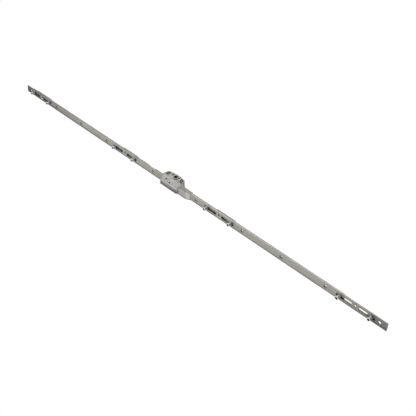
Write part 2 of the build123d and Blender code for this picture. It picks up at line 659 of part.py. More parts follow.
def make_cover():
    cover = case_outline(COVER_BOTTOM, CASE_HEIGHT)
    top_front = cover.edges().filter_by(Axis.X).group_by(Axis.Z)[-1].group_by(Axis.Y)[0]
    cover = chamfer(top_front, BOX_CHAMFER)
    cover -= pin_z(0, BACKSET, FOLLOWER_HUB_R + RUNNING_FIT, COVER_BOTTOM, CASE_HEIGHT)
    cover -= pin_z(IDLER_X, IDLER_DEPTH, IDLER_AXLE_R, COVER_BOTTOM, CASE_HEIGHT)
    # The axle's end is staked at the bottom of a small pit
    cover -= pin_z(IDLER_X, IDLER_DEPTH, AXLE_PIT_R, CASE_HEIGHT - IDLER_AXLE_SINK, CASE_HEIGHT)
    cover -= pin_z(SIGHT_HOLE_X, SIGHT_HOLE_DEPTH, SIGHT_HOLE_R, COVER_BOTTOM, CASE_HEIGHT)
    cover -= pin_z(SPRING_HOLE_X, SPRING_HOLE_DEPTH, SPRING_HOLE_R, COVER_BOTTOM, CASE_HEIGHT)
    cover -= arc_window()
    cover -= moats(COVER_BOTTOM, CASE_HEIGHT)
    write("gearbox_cover", cover - case_rivet_pins())
    write("case_rivets", Compound(case_rivet_pins().solids()))


def make_saddle():
    # A pressed hood: a flat top, a rounded ramp down to the rail and two side flanges
    start = BOX_RIGHT

    def profile(drop, z0, z1):
        top_y = at_depth(-SADDLE_PROUD + drop)
        foot_y = at_depth(0)
        knee_x = SADDLE_KNEE - drop / 2
        end_x = SADDLE_END - drop
        flat = Line((start, top_y), (knee_x, top_y))
        pull = (knee_x + SADDLE_KNEE_PULL, top_y)
        rise = (end_x - SADDLE_FOOT_PULL, foot_y - SADDLE_FOOT_RISE)
        bow = Bezier(flat @ 1, pull, rise, (end_x, foot_y))
        low = Line(bow @ 1, (start, foot_y))
        side = Line(low @ 1, flat @ 0)
        return Pos(0, 0, z0) * extrude(make_face([flat, bow, low, side]), amount=z1 - z0)

    hood = profile(0, 0, RAIL_WIDTH)
    hood += block(start, SADDLE_END, 0, SADDLE_FLANGE, 0, RAIL_WIDTH)
    hood -= block(start, SADDLE_END, 0, SADDLE_FLANGE, SADDLE_WALL, RAIL_WIDTH - SADDLE_WALL)
    hood -= profile(SADDLE_WALL, SADDLE_WALL, RAIL_WIDTH - SADDLE_WALL)
    rivets = []
    for x in SADDLE_RIVETS:
        hood += pin_y(x, MID_Z, SADDLE_BOSS_R, -SADDLE_PROUD + SADDLE_WALL / 2, 0)
        rivets.append(pin_y(x, MID_Z, SADDLE_RIVET_R, -SADDLE_PROUD, RAIL_THICK))
    for rivet in rivets:
        hood -= rivet
    write("saddle_cover", hood)
    write("saddle_rivets", Compound(rivets[0].solids() + rivets[1].solids()))


def make_guides():
    near = BLOCK_NEAR
    far = BLOCK_NEAR + BLOCK_THICK
    for name, (x0, x1) in BLOCK_SPANS.items():
        x = STATIONS[name]
        guide = block(x + x0, x + x1, near, far, BLOCK_EDGE, RAIL_WIDTH - BLOCK_EDGE)
        if x0 > BLOCK_TAIL_FROM:
            tail_far = near + BLOCK_TAIL_THICK
            guide += block(x + BLOCK_TAIL_FROM, x + x0, near, tail_far, BLOCK_TAIL_BOTTOM, BLOCK_TAIL_TOP)
        guide -= pin_y(x, MID_Z, BUSH_OUTER_R, near, far)
        write(f"guide_block_{name}", guide)
        bush = pin_y(x, MID_Z, BUSH_OUTER_R, 0, far) - pin_y(x, MID_Z, BUSH_INNER_R, 0, far)
        bush -= cone_y(x, MID_Z, BUSH_MOUTH_R, BUSH_INNER_R, 0, BUSH_MOUTH_DEPTH)
        write(f"screw_bush_{name}", bush)


def make_cam(name, x, near):
    # Pivot and flare in the rod, shank through the slot, eccentric collar, neck and head in front
    far = near + ROD_THICK
    cam = pin_y(x, MID_Z, CAM_PIVOT_R, near - CAM_FIT, far)
    cam += cone_y(x, MID_Z, CAM_PIVOT_R, CAM_FLARE_R, far - CAM_FLARE_DEPTH, far)
    cam += pin_y(x, MID_Z, CAM_SHANK_R, -CAM_LIFT, near - CAM_FIT)
    high = MID_Z + CAM_ECCENTRIC
    neck_end = -CAM_PROUD + CAM_HEAD_HEIGHT
    cam += pin_y(x, high, CAM_NECK_R, neck_end, -CAM_LIFT)
    cam += pin_y(x, high, CAM_COLLAR_R, -CAM_LIFT - CAM_COLLAR_HEIGHT, -CAM_LIFT)
    head = pin_y(x, high, CAM_HEAD_R, -CAM_PROUD, neck_end)
    head = fillet(head.edges().filter_by(GeomType.CIRCLE), CAM_ROUND)
    cam += head
    key = extrude(RegularPolygon(CAM_KEY / 2, 6, major_radius=False), amount=CAM_KEY_DEPTH)
    cam -= Pos(x, at_depth(-CAM_PROUD), MID_Z) * Rot(-90, 0, 0) * key
    write(name, cam)


def make_cams():
    for name, x in STATIONS.items():
        make_cam(f"cam_{name}_left", x - CAM_OFFSET, REAR_ROD_NEAR)
        make_cam(f"cam_{name}_right", x + CAM_OFFSET, FRONT_ROD_NEAR)


def make_spring():
    write("detent_spring", prism_z(spring_outline(0), SPRING_BOTTOM, SPRING_TOP))


os.makedirs("parts", exist_ok=True)
make_faceplates()
make_rear_rod()
make_front_rod()
make_drive_rack()
make_front_rack()
make_reversing_arm()
make_follower()
make_idler()
make_case()
make_cover()
make_saddle()
make_guides()
make_cams()
make_spring()
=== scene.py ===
# %% [markdown]
# # A window espagnolette, dressed for its portrait
#
# The real object is a long slotted steel faceplate with a small zinc gear case at its middle.
# Two flat rods hide behind the faceplate, and eight mushroom cams stand out through its slots.
# The solids come from the CAD model, already in the right place and size.
# Blender's work here is to soften the edges that a press or a die leaves round, to give every
# surface its metal, and to light it all as in the photograph.

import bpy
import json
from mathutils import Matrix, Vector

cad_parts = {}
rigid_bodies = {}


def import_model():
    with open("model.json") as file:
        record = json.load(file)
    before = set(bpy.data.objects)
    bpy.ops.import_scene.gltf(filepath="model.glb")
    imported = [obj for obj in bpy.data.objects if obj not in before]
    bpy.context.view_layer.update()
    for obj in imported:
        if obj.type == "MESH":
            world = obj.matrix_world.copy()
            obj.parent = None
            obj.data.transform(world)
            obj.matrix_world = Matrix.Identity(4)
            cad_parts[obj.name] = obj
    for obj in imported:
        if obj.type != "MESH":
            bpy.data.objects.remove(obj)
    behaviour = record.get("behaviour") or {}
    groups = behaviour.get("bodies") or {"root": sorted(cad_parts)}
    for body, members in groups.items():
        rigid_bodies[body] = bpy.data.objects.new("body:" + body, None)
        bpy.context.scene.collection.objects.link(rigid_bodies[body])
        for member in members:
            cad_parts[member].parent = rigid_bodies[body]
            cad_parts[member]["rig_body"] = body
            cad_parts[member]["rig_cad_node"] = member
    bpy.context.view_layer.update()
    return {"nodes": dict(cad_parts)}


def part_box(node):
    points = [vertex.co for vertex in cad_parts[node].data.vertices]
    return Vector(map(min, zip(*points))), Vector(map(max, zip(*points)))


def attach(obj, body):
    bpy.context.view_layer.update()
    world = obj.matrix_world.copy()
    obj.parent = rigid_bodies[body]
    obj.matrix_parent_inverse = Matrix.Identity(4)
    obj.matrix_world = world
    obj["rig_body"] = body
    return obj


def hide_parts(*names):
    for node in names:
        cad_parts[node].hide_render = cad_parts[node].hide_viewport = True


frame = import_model()

# %% Libraries and the unit
import json
import math

import bpy
from mathutils import Matrix, Vector

MM = 0.001
nodes = frame["nodes"]

# %% [markdown]
# ## Selecting by hand, in code
#
# Operators act on whatever is selected, and the import leaves every CAD node selected.
# So each step starts by clearing the selection, and faces are then picked by where they are
# or by where they look, the way a hand would click them.

# %% Helpers for selecting
def clear_selection():
    if bpy.context.object and bpy.context.object.mode != "OBJECT":
        bpy.ops.object.mode_set(mode="OBJECT")
    bpy.ops.object.select_all(action="DESELECT")


def take(piece):
    clear_selection()
    piece.select_set(True)
    bpy.context.view_layer.objects.active = piece


def pick_faces(piece, wanted):
    # Leaves the piece in edit mode with only the wanted faces selected
    bpy.ops.object.mode_set(mode="EDIT")
    bpy.ops.mesh.select_mode(type="FACE")
    bpy.ops.mesh.select_all(action="DESELECT")
    bpy.ops.object.mode_set(mode="OBJECT")
    for face in piece.data.polygons:
        face.select = bool(wanted(face))
    bpy.ops.object.mode_set(mode="EDIT")


def settle(piece):
    # The piece's place goes into its mesh, so that its object sits at the origin
    take(piece)
    bpy.ops.object.transform_apply(location=True, rotation=True, scale=True)


def open_edges(piece):
    uses = {}
    for face in piece.data.polygons:
        for edge in face.edge_keys:
            uses[edge] = uses.get(edge, 0) + 1
    return sum(1 for count in uses.values() if count != 2)


clear_selection()
print("selected now:", len(bpy.context.selected_objects))

# %% [markdown]
# ## Softened castings and pressings
#
# No edge of a zinc casting or a pressed steel hood is a knife edge. It could be faked in the
# material, but a real small bevel also catches the light along the outline. So a copy of the CAD
# shape has its loose triangles merged, its flat faces joined, and then a Bevel modifier rounds
# each sharp edge. The copy stands for the CAD node.

# %% Helpers that round the edges of a shape
SAME_POINT = 0.002 * MM
FLAT_ANGLE = math.radians(0.6)
SMOOTH_ANGLE = math.radians(32)
CAST_ANGLE = 40


def round_edges(piece, name, width, segments, angle):
    # A Bevel modifier on each edge that turns by more than the angle, applied at once
    bevel = piece.modifiers.new(name, "BEVEL")
    bevel.width = width
    bevel.segments = segments
    bevel.limit_method = "ANGLE"
    bevel.angle_limit = math.radians(angle)
    bpy.ops.object.modifier_apply(modifier=bevel.name)


def softened(name, node, width, segments):
    source = nodes[node]
    piece = source.copy()
    piece.data = source.data.copy()
    piece.name = name
    piece.data.name = name
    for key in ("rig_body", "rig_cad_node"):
        if key in piece:
            del piece[key]
    piece.parent = None
    bpy.context.scene.collection.objects.link(piece)
    piece.matrix_world = Matrix.Identity(4)
    take(piece)
    bpy.ops.object.mode_set(mode="EDIT")
    bpy.ops.mesh.select_all(action="SELECT")
    bpy.ops.mesh.remove_doubles(threshold=SAME_POINT)
    bpy.ops.mesh.dissolve_limited(angle_limit=FLAT_ANGLE)
    bpy.ops.object.mode_set(mode="OBJECT")
    round_edges(piece, "Soft edges", width, segments, angle=CAST_ANGLE)
    bpy.ops.object.shade_smooth_by_angle(angle=SMOOTH_ANGLE)
    print(name, "faces:", len(piece.data.polygons), "open edges:", open_edges(piece))
    return piece


# %% The lid, the tray and the hood
LID_EDGE = 0.3 * MM
TRAY_EDGE = 0.25 * MM
HOOD_EDGE = 0.35 * MM
lid = softened("case_lid", "gearbox_cover", LID_EDGE, segments=2)
tray = softened("case_tray", "gearbox_case", TRAY_EDGE, segments=2)
hood = softened("hood", "saddle_cover", HOOD_EDGE, segments=3)
for piece, node in ((lid, "gearbox_cover"), (tray, "gearbox_case"), (hood, "saddle_cover")):
    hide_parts(node)
    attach(piece, "housing")

# %% [markdown]
# ## The mushroom cams
#
# A cam is turned from bar: a rounded head, a groove where the striker's lip runs, a collar by the
# plate, and a pin behind that is riveted in the rod. It could be a lathe profile, but head and
# collar are a little off the pin's axis. So it is pulled out of one cylinder, face by face, and
# the off-centre step is a small move between two extrudes. It is made once for each rod, because
# the rods lie at two depths, and then copied to its places.

# %% Sizes of a cam, in metres
HEAD_R = 3.8 * MM
HEAD_HEIGHT = 2.9 * MM
HEAD_ROUND = 0.6 * MM
NECK_R = 2.4 * MM
COLLAR_R = 3.1 * MM
COLLAR_HEIGHT = 1.8 * MM
PROUD = 8.6 * MM
LIFT = 0.3 * MM
OFF_CENTRE = 0.5 * MM
SHANK_R = 2.5 * MM
PIVOT_R = 1.9 * MM
FLARE_R = 2.6 * MM
FLARE_DEPTH = 0.6 * MM
KEY_ACROSS = 3.6 * MM
KEY_R = KEY_ACROSS / 2 / math.cos(math.radians(30))
KEY_DEPTH = 2.6 * MM
TURNED_EDGE = 0.2 * MM
SOCKET_LIP = 0.12 * MM
ROUND_SIDES = 48
AXIS_TO_Y = (math.pi / 2, 0, 0)
print("key socket across corners:", round(2 * KEY_R / MM, 2), "mm")

# %% The head, with its rounded rims
plate_low, plate_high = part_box("faceplate_left")
PLATE_Y = plate_low.y
MID_Z = (plate_low.z + plate_high.z) / 2
clear_selection()
bpy.ops.mesh.primitive_cylinder_add(
    vertices=ROUND_SIDES, radius=HEAD_R, depth=HEAD_HEIGHT, rotation=AXIS_TO_Y,
    location=(0, PLATE_Y - PROUD + HEAD_HEIGHT / 2, MID_Z + OFF_CENTRE))
cam = bpy.context.object
cam.name = "cam_model"
settle(cam)
pick_faces(cam, lambda face: abs(face.normal.y) > 0.9)
bpy.ops.mesh.region_to_loop()
bpy.ops.mesh.bevel(offset=HEAD_ROUND, segments=4)
bpy.ops.object.mode_set(mode="OBJECT")
print("plate front at y =", round(PLATE_Y, 4), "centre line at z =", round(MID_Z, 4))

# %% Neck, collar, shank and pin are drawn out of the head's back
def back_face(face):
    # Only the flat end itself, without the rounded rim beside it
    return face.normal.y > 0.999


def pull(length):
    bpy.ops.mesh.extrude_region_move(TRANSFORM_OT_translate={"value": (0, length, 0)})


def widen(radius_from, radius_to, z):
    # Opens or closes the selected end face round its own middle
    share = radius_to / radius_from
    bpy.ops.transform.resize(value=(share, 1, share), center_override=(0, 0, z))


def step(radius_from, radius_to, z, shift=0.0):
    # A shoulder: a new end face of the next radius in the same plane, slid off centre if needed
    pull(0)
    widen(radius_from, radius_to, z)
    if shift:
        bpy.ops.transform.translate(value=(0, 0, shift))


rod_near = {"left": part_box("rear_rod")[0].y, "right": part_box("front_rod")[0].y}
rod_far = {"left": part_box("rear_rod")[1].y, "right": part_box("front_rod")[1].y}


def draw_out(model, side):
    pick_faces(model, back_face)
    high = MID_Z + OFF_CENTRE
    step(HEAD_R - HEAD_ROUND, NECK_R, high)
    pull(PROUD - HEAD_HEIGHT - LIFT - COLLAR_HEIGHT)
    step(NECK_R, COLLAR_R, high)
    pull(COLLAR_HEIGHT)
    step(COLLAR_R, SHANK_R, high, -OFF_CENTRE)
    pull(rod_near[side] - PLATE_Y + LIFT)
    step(SHANK_R, PIVOT_R, MID_Z)
    pull(rod_far[side] - rod_near[side] - FLARE_DEPTH)
    pull(FLARE_DEPTH)
    widen(PIVOT_R, FLARE_R, MID_Z)
    bpy.ops.object.mode_set(mode="OBJECT")


models = {}
for side in ("left", "right"):
    model = cam.copy()
    model.data = cam.data.copy()
    model.name = f"cam_model_{side}"
    bpy.context.scene.collection.objects.link(model)
    take(model)
    draw_out(model, side)
    models[side] = model
bpy.data.objects.remove(cam)
print("cam length, left rod:", round((rod_far["left"] - PLATE_Y + PROUD) / MM, 1), "mm")

# %% The turned edges are eased and the key socket is sunk
def sink_socket(model):
    take(model)
    round_edges(model, "Turned edges", TURNED_EDGE, segments=2, angle=60)
    clear_selection()
    bpy.ops.mesh.primitive_cylinder_add(
        vertices=6, radius=KEY_R, depth=2 * KEY_DEPTH, rotation=AXIS_TO_Y,
        location=(0, PLATE_Y - PROUD, MID_Z))
    key = bpy.context.object
    settle(key)
    take(model)
    cut = model.modifiers.new("Key socket", "BOOLEAN")
    cut.operation = "DIFFERENCE"
    cut.solver = "EXACT"
    cut.object = key
    bpy.ops.object.modifier_apply(modifier=cut.name)
    bpy.data.objects.remove(key)
    round_edges(model, "Socket lip", SOCKET_LIP, segments=2, angle=50)
    bpy.ops.object.shade_smooth_by_angle(angle=SMOOTH_ANGLE)


for side, model in models.items():
    sink_socket(model)
    print(model.name, "faces:", len(model.data.polygons), "open edges:", open_edges(model))

# %% Eight copies, each in its slot and on its own body
cams = {}
for station in ("a", "b", "c", "d"):
    for side in ("left", "right"):
        node = f"cam_{station}_{side}"
        low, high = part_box(node)
        copy = models[side].copy()
        copy.data = models[side].data.copy()
        copy.name = f"mushroom_{station}_{side}"
        bpy.context.scene.collection.objects.link(copy)
        copy.location = ((low.x + high.x) / 2, 0, 0)
        settle(copy)
        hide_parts(node)
        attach(copy, f"{node}_pivot")
        cams[node] = copy
for model in models.values():
    bpy.data.objects.remove(model)
print(len(cams), "cams placed")

# %% [markdown]
# ## A small language for finishes
#
# A finish is worked out from masks, such as one for an edge or one for a stain. Wiring each sum by
# hand hides the idea, so one small class wraps a socket and lets masks be added and multiplied as
# plain arithmetic. Everything else is one method that makes any node.

# %% Sockets that can be added and multiplied
class Mask:
    def __init__(self, wiring, socket):
        self.wiring = wiring
        self.socket = socket

    def math(self, operation, first, second):
        made = self.wiring.node("ShaderNodeMath", {"operation": operation}, {0: first, 1: second})
        return made["Value"]

    def __add__(self, other):
        return self.math("ADD", self, other)

    def __radd__(self, other):
        return self.math("ADD", other, self)

    def __sub__(self, other):
        return self.math("SUBTRACT", self, other)

    def __rsub__(self, other):
        return self.math("SUBTRACT", other, self)

    def __mul__(self, other):
        return self.math("MULTIPLY", self, other)

    def __rmul__(self, other):
        return self.math("MULTIPLY", other, self)

    def __abs__(self):
        return self.math("ABSOLUTE", self, 0.0)


# %% One method that makes any node
class Wiring:
    def __init__(self, tree):
        self.tree = tree
        self.tree.nodes.clear()

    def plug(self, target, value):
        if isinstance(value, Mask):
            self.tree.links.new(value.socket, target)
        else:
            target.default_value = value

    def node(self, kind, settings, sockets):
        made = self.tree.nodes.new(kind)
        for key, value in settings.items():
            setattr(made, key, value)
        for key, value in sockets.items():
            if isinstance(key, int):
                target = made.inputs[key]
            else:
                target = [s for s in made.inputs if s.enabled and key == s.name][0]
            self.plug(target, value)
        return {s.name: Mask(self, s) for s in made.outputs if s.enabled}


# %% A finish: one Principled shader, what feeds it, and the colour laid on so far
def tone(red, green, blue):
    # A colour read off a screen, 0 to 255, as the linear light that a shader wants
    def linear(part):
        part = part / 255.0
        return part / 12.92 if part <= 0.04045 else ((part + 0.055) / 1.055) ** 2.4
    return tuple(linear(part) for part in (red, green, blue))


class Finish(Wiring):
    def __init__(self, name):
        self.material = bpy.data.materials.new(name)
        self.material.use_nodes = True
        super().__init__(self.material.node_tree)
        surface = self.node("ShaderNodeBsdfPrincipled", {}, {})["BSDF"]
        self.shader = surface.socket.node
        self.node("ShaderNodeOutputMaterial", {}, {"Surface": surface})
        made = self.node("ShaderNodeTexCoord", {}, {})
        self.place = made["Object"]
        self.facing = made["Normal"]
        self.base = None

    def set(self, **sockets):
        for key, value in sockets.items():
            self.plug(self.shader.inputs[key.replace("_", " ")], value)

    def done(self, metallic, roughness):
        self.set(Base_Color=self.base, Metallic=metallic, Roughness=roughness)
        return self.material

    def axes(self):
        # Where a point lies along X, Y and Z, in millimetres
        parts = self.node("ShaderNodeSeparateXYZ", {}, {"Vector": self.place})
        return [parts[letter] * (1 / MM) for letter in "XYZ"]

    def normals(self):
        # How far a surface looks along X, Y and Z, from -1 to 1
        parts = self.node("ShaderNodeSeparateXYZ", {}, {"Vector": self.facing})
        return [parts[letter] for letter in "XYZ"]

    def reach(self, pair, centre):
        # Distance from an axis, from two of the three coordinates
        here = self.node("ShaderNodeCombineXYZ", {}, {"X": pair[0], "Y": pair[1]})["Vector"]
        made = self.node("ShaderNodeVectorMath", {"operation": "DISTANCE"}, {0: here, 1: (*centre, 0)})
        return made["Value"]

    def ramp(self, value, low, high):
        # 0 below low, 1 above high, smooth between
        made = self.node("ShaderNodeMapRange", {"interpolation_type": "SMOOTHSTEP"},
                         {"Value": value, "From Min": low, "From Max": high, "To Min": 0.0, "To Max": 1.0})
        return made["Result"]

    def fall(self, value, low, high):
        # 1 below low, 0 above high
        return 1.0 - self.ramp(value, low, high)

    def band(self, value, start, end):
        # 1 between two soft edges, each given by where it begins and where it ends
        return self.ramp(value, *start) * self.fall(value, *end)

    def spot(self, pair, centre, solid, gone):
        # 1 within the radius solid of a centre, 0 beyond the radius gone
        return self.fall(self.reach(pair, centre), solid, gone)

    def grain(self, size, detail=2.0, rough=0.5, stretch=(1, 1, 1), turn=0.0, shift=0.0):
        # Noise whose grains are about size millimetres, longer along an axis where stretch is large
        scaled = self.node("ShaderNodeMapping", {"vector_type": "POINT"}, {
            "Vector": self.place, "Location": (shift, shift * 0.7, shift * 0.3), "Rotation": (0, 0, turn),
            "Scale": tuple(1 / MM / (size * part) for part in stretch)})["Vector"]
        made = self.node("ShaderNodeTexNoise", {"noise_dimensions": "3D"},
                         {"Vector": scaled, "Scale": 1.0, "Detail": detail, "Roughness": rough})
        return made["Fac"]

    def mix(self, mask, first, second):
        # A colour that goes from first to second where the mask is 1
        def full(colour):
            return colour if isinstance(colour, Mask) else (*colour, 1.0)
        made = self.node("ShaderNodeMix", {"data_type": "RGBA", "clamp_factor": True},
                         {"Factor": mask, "A": full(first), "B": full(second)})
        return made["Result"]

    def stain(self, mask, *screen_colour):
        # Lays a colour over what is there already, where the mask is 1
        self.base = self.mix(mask, self.base, tone(*screen_colour))

    def bump(self, height, distance, strength):
        made = self.node("ShaderNodeBump", {}, {
            "Height": height, "Distance": distance, "Strength": strength})
        self.set(Normal=made["Normal"])


print("mid grey 128 is", round(tone(128, 128, 128)[0], 3), "in linear light")

# %% [markdown]
# ## The faceplate's metal
#
# The strip is cold rolled and zinc plated: a warm light grey with very long fine streaks along
# its length, where the rolls ran. Streaks are noise pulled out along X. In the photograph the strip
# is darker towards its lower edge, browner at the left end and grey at the right end, its upper
# edge is bright, and the punched holes and countersinks are dark. Each of these is one mask of
# painted light: painted shade low down and in the holes, a painted dark reflection at the ends and
# a painted highlight on the upper edge.

# %% Rolled strip, with streaks along it and faint stains that drift through them
def rolled(name, light, dark):
    finish = Finish(name)
    streaks = finish.grain(0.5, detail=4.0, rough=0.6, stretch=(90, 1, 1))
    drift = finish.grain(26.0, detail=3.0, rough=0.6, stretch=(1.6, 1, 1), shift=7.0)
    lines = finish.grain(1.1, detail=1.0, stretch=(60, 3, 1), shift=3.0)
    finish.base = finish.mix(finish.ramp(streaks, 0.32, 0.7), light, dark)
    finish.stain(finish.ramp(lines, 0.54, 0.68) * 0.3, 128, 124, 116)
    finish.stain(finish.ramp(drift, 0.5, 0.8) * 0.5, 139, 138, 120)
    finish.stain(finish.fall(drift, 0.25, 0.45) * 0.4, 170, 161, 159)
    finish.bump(streaks, 0.02 * MM, 0.5)
    return finish, streaks


def strip_done(finish, streaks):
    return finish.done(metallic=0.72, roughness=0.36 + 0.18 * streaks)


# %% Where the faceplate's painted shade, painted reflection and painted highlights begin and end, in millimetres
LEFT_TIP = (-534.0, -516.0)
LEFT_END = (-560.0, -400.0)
LEFT_PART = (-460.0, -270.0)
LOW_LEFT_PART = (-240.0, -160.0)
LEFT_OF_MIDDLE = (-350.0, 100.0)
RIGHT_PART = (435.0, 500.0)
RIGHT_END = (510.0, 530.0)
LOWER_HALF = (1.5, 9.0)
LOW_STRIP = (3.0, 6.5)
FOOT = (0.8, 2.1)
BROW = (13.9, 15.0)
TOP_EDGE = (15.0, 15.6)
CENTRE_LINE = MID_Z / MM
FACING_FRONT = (-0.95, -0.85)
print("centre line at", round(CENTRE_LINE, 3), "mm")


def faceplate_finish():
    finish, streaks = rolled("rolled_strip", tone(180, 177, 170), tone(156, 153, 147))
    x, y, z = finish.axes()
    nx, ny, nz = finish.normals()
    # Painted shade: darker over the lower half, most on the left, and along a low strip on the left
    low = finish.fall(z, *LOWER_HALF)
    finish.stain(low * (0.3 + 0.25 * finish.fall(x, *LEFT_OF_MIDDLE)), 124, 123, 118)
    # Painted reflection: both ends are painted darker, browner at the left and grey at the right, as the dark
    # room they reflect
    finish.stain(finish.fall(x, *LEFT_PART) * (0.5 + 0.4 * low), 112, 109, 99)
    finish.stain(finish.fall(z, *LOW_STRIP) * finish.fall(x, *LOW_LEFT_PART) * 0.3, 96, 94, 86)
    finish.stain(finish.fall(x, *LEFT_END) * 0.45, 82, 80, 74)
    finish.stain(finish.fall(x, *LEFT_TIP) * 0.62, 44, 42, 39)
    finish.stain(finish.ramp(x, *RIGHT_PART) * (0.38 + 0.26 * low), 126, 121, 113)
    finish.stain(finish.ramp(x, *RIGHT_END) * (0.46 + 0.2 * low), 84, 82, 83)
    # Painted shadow along the foot, where the strip meets the floor
    foot_shade_strength = 0.96 - 0.35 * finish.ramp(x, 380.0, 470.0)
    finish.stain(finish.fall(z, *FOOT) * foot_shade_strength, 34, 32, 29)
    facing_front = finish.fall(ny, *FACING_FRONT)
    # Painted light on the front face beside the hood's ramp foot, lifting the shade that falls there
    finish.stain(finish.band(x, (71.0, 72.0), (74.0, 76.0)) * facing_front * 0.35, 206, 203, 194)
    # Painted shade along the top of the front face, where it turns to the top edge
    finish.stain(finish.ramp(z, *BROW) * facing_front * 0.35, 112, 110, 104)
    # Painted highlight on the upper edge, strongest near the middle, and painted shade on it towards the
    # right end
    upper = finish.ramp(nz, 0.5, 0.9) * finish.ramp(z, *TOP_EDGE)
    top_highlight_share = 0.25 + 0.5 * finish.ramp(x, -150.0, 150.0) - 0.45 * finish.ramp(x, 170.0, 300.0)
    finish.stain(upper * top_highlight_share, 214, 212, 207)
    finish.stain(upper * finish.ramp(x, 440.0, 545.0) * 0.6, 116, 114, 112)
    # Painted shade on the walls of the slots and holes
    slot_wall_shade = finish.fall(abs(ny), 0.15, 0.35) * finish.band(z, (2.0, 2.6), (13.4, 14.0))
    slot_wall_shade = slot_wall_shade * finish.ramp(y, -21.9, -21.6)
    finish.stain(slot_wall_shade * (0.6 - 0.2 * finish.ramp(x, 420.0, 440.0)), 66, 58, 48)
    # Painted light on the strip's cut end beside the case, where shade falls
    cut_end_light = finish.ramp(nx, 0.5, 0.8) * finish.band(x, (-22.6, -22.2), (-21.6, -21.0))
    finish.stain(cut_end_light * 0.9, 236, 234, 228)
    # Painted shade in the countersinks
    countersink_shade = finish.band(abs(ny), (0.45, 0.6), (0.75, 0.9)) * finish.fall(abs(z - CENTRE_LINE), 4.4, 5.0)
    finish.stain(countersink_shade * 0.55, 86, 80, 72)
    return strip_done(finish, streaks)


# %% The rods: a painted highlight on the top edge, a painted shaded band and painted shade at the slot ends
STATIONS_X = (-482.0, -146.2, 154.2, 488.0)
SLOT_END = 39.6


def rod_finish():
    finish, streaks = rolled("rod_strip", tone(168, 164, 152), tone(138, 133, 122))
    x, _, z = finish.axes()
    nz = finish.normals()[2]
    # Painted highlight along the top edge
    finish.stain(finish.ramp(z, 14.3, 14.9) * 0.8, 186, 183, 176)
    # Painted shade on the band seen through the slots, behind the faceplate
    shaded_band = finish.ramp(nz, 0.5, 0.8) * finish.band(z, (9.1, 9.3), (9.5, 9.7))
    finish.stain(shaded_band * 0.9, 40, 36, 30)
    # Painted shade at each slot's ends, where the slot is deep
    for station in STATIONS_X:
        for end in (station - SLOT_END, station + SLOT_END):
            finish.stain(finish.spot((x, z), (end, CENTRE_LINE), 2.6, 3.8) * 0.8, 44, 40, 34)
    return strip_done(finish, streaks)


RAIL = faceplate_finish()
ROD = rod_finish()
print("strip finishes:", RAIL.name, ROD.name)

# %% [markdown]
# ## The pressed hood
#
# The hood is the same plated strip, drawn in a press. The ramp gets a painted highlight where it
# faces the light, the flat top keeps the mill's grey, and painted shade lies in the line where the
# ramp meets the rail and along the foot.

# %% Pressed hood metal
def hood_finish():
    finish, streaks = rolled("pressed_hood", tone(188, 186, 180), tone(168, 165, 159))
    x, y, z = finish.axes()
    nx, ny, nz = finish.normals()
    # Painted highlight over the ramp
    slope = finish.ramp(x, 60.5, 64.5)
    finish.stain(slope * 0.6, 214, 210, 198)
    # Painted highlight on the rounded left end
    left_edge_highlight = finish.fall(x, 38.6, 40.4) * finish.band(z, (3.5, 6.0), (10.0, 13.0))
    finish.stain(left_edge_highlight * 0.6, 232, 231, 229)
    # Painted shade in the line where the ramp meets the rail
    crease_shade = finish.ramp(y, -24.0, -22.6) * slope * finish.fall(ny, -0.5, -0.2)
    finish.stain(crease_shade * 0.35, 88, 85, 80)
    # Painted shade along the foot
    foot = finish.fall(z, 0.6, 4.2) * (1.0 - 0.8 * slope)
    finish.stain(foot * 0.8, 88, 85, 80)
    # Painted shade on the top edge over the ramp
    top_edge_shade = finish.ramp(nz, 0.5, 0.8) * finish.ramp(x, 62.0, 66.0)
    finish.stain(top_edge_shade * 0.7, 150, 147, 139)
    # Painted shade on the far end face, dimming its reflection
    far_end_shade = finish.ramp(nx, 0.8, 0.95) * finish.ramp(x, 71.0, 71.6)
    finish.stain(far_end_shade * 0.6, 146, 143, 134)
    return strip_done(finish, streaks)


HOOD = hood_finish()
print("hood finish:", HOOD.name)

# %% [markdown]
# ## Cast zinc
#
# The gear case is die cast and plated. Its top is pale, a little green with faint pink stains, and
# it has a fine orange-peel texture from the die. The front wall is painted a shaded brownish grey,
# darker towards its foot, and a lilac painted highlight runs along its top edge. The right end
# faces and the back get painted shade, and painted shade darkens the rings round the posts and the small
# holes.

# %% Where the case's marks are, seen from above, in millimetres
CASE_TOP = (11.3, 11.4)
PIT_MOUTH = (11.3, 11.48)
PITS = {
    # centre, radius and how dark
    "left post": ((-20.9, -0.8), 4.95, 0.8),
    "right post": ((20.9, -0.8), 4.95, 0.3),
    "sight hole": ((-6.9, -20.5), 2.2, 0.95),
    "axle": ((8.6, -24.53), 2.3, 0.95),
    "spring": ((14.2, 2.6), 1.1, 0.95),
}
MOSS = (-9.8, 0.8)
BROWN_MARK = (23.8, -6.9)
SHADE_BY_HUB = (7.2, -7.2)
SPECK = (16.2, 2.9)
PALE_RIGHT = (14.0, -20.0)
PALE_LEFT = (-19.0, -18.5)
print(len(PITS), "dark pits")


